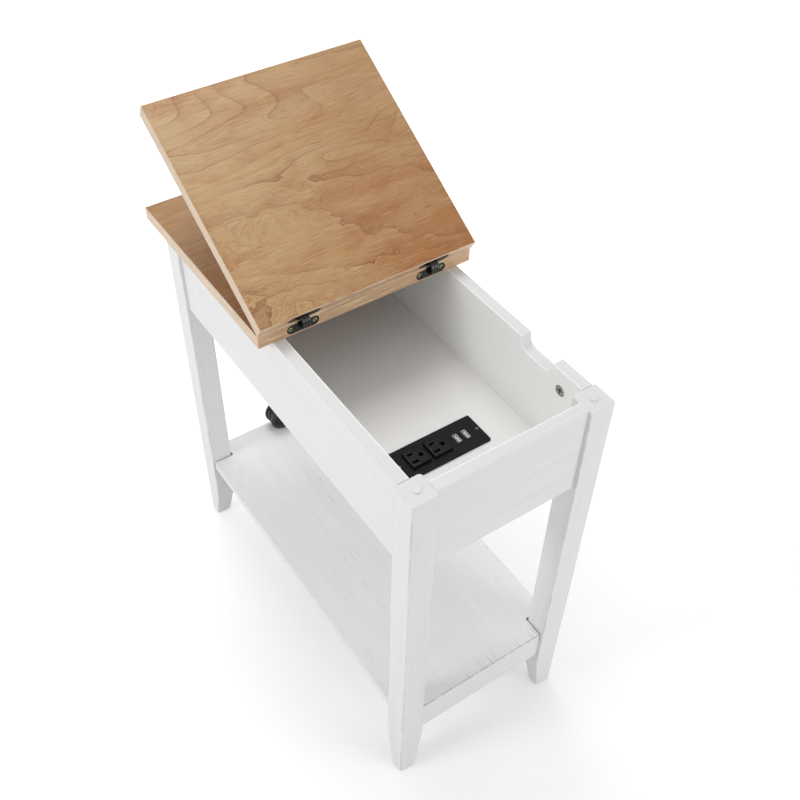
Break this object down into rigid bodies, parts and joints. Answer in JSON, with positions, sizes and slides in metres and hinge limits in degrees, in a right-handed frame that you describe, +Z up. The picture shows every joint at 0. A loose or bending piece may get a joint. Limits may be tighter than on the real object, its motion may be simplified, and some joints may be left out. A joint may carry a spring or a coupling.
{
  "type": "end table",
  "caption": "Narrow end table with a shelf and tapered legs; half the top is a lid that swings back over the fixed half and opens a storage box with a power strip.",
  "frame": {"origin": "on the ground, under the middle of the outline of the table as stored, with its lid open", "axes": "+Z up; +Y along the table's length, from the end with the lid's free edge and the power strip towards the fixed half of the top; +X across the width, towards the side with the cable notch"},
  "size_m": [0.3, 0.5856, 0.7786],
  "materials": {
    "painted_wood": "painted white over wood grain, brushed and distressed",
    "box_board": "smooth white foil",
    "top_veneer": "satin lacquered cherry-like veneer",
    "dowel_wood": "raw beech",
    "glide_plastic": "moulded",
    "bumper_rubber": "soft, dull",
    "cam_zinc": "zinc die-cast",
    "steel": "zinc plated",
    "hinge_black": "black, satin",
    "screw_brass": "brass plated",
    "black_plastic": "fine spark texture",
    "socket_plastic": "satin",
    "contact_brass": "stamped",
    "usb_steel": "nickel plated",
    "usb_white": "moulded",
    "board_green": "solder mask",
    "cord_black": "smooth jacket",
    "plug_nickel": "nickel plated"
  },
  "bodies": {
    "base": {"apron_back": "painted_wood", "apron_dowels": "dowel_wood", "apron_front": "painted_wood", "apron_left": "painted_wood", "apron_right": "painted_wood", "box_floor": "box_board", "bus_bars": "contact_brass", "cam_bolts": "steel", "cam_locks": "cam_zinc", "charger_board": "board_green", "cord_clip_nails": "steel", "cord_clips": "black_plastic", "cord_hank": "cord_black", "cord_strain_relief": "cord_black", "faceplate_screws": "hinge_black", "fixed_top": "top_veneer", "foot_glides": "glide_plastic", "hank_tie": "black_plastic", "hinge_leaf_fixed_left": "hinge_black", "hinge_leaf_fixed_right": "hinge_black", "hinge_screws_fixed": "screw_brass", "housing_posts": "black_plastic", "leg_back_left": "painted_wood", "leg_back_right": "painted_wood", "leg_front_left": "painted_wood", "leg_front_right": "painted_wood", "lid_bumpers": "bumper_rubber", "outlet_block_left": "socket_plastic", "outlet_block_right": "socket_plastic", "outlet_contacts": "contact_brass", "outlet_faceplate": "black_plastic", "outlet_housing": "black_plastic", "plug_blades": "plug_nickel", "plug_body": "cord_black", "power_cord": "cord_black", "shelf_dowels": "dowel_wood", "shelf_panel": "painted_wood", "shelf_rail_back": "painted_wood", "shelf_rail_front": "painted_wood", "shelf_screws": "steel", "top_cam_bolts": "steel", "top_cam_locks": "cam_zinc", "usb_shells": "usb_steel", "usb_tongues": "usb_white"},
    "lid": {"lid": "top_veneer", "hinge_leaf_lid_left": "hinge_black", "hinge_leaf_lid_right": "hinge_black", "hinge_screws_lid": "screw_brass"},
    "hinge_links": {"hinge_link_left": "hinge_black", "hinge_link_right": "hinge_black"}
  },
  "joints": [
    {"name": "lid_hinge", "type": "hinge", "parent": "base", "child": "lid", "pos_m": [0, -0.00775, 0.61], "axis": [1, 0, 0], "range_deg": [0, 149.1]},
    {"name": "hinge_link_fold", "type": "hinge", "parent": "base", "child": "hinge_links", "pos_m": [0, -0.00775, 0.61], "axis": [1, 0, 0], "range_deg": [0, 74.6]}
  ],
  "couplings": [
    {"joint": "hinge_link_fold", "follows": "lid_hinge", "ratio": 0.5}
  ]
}
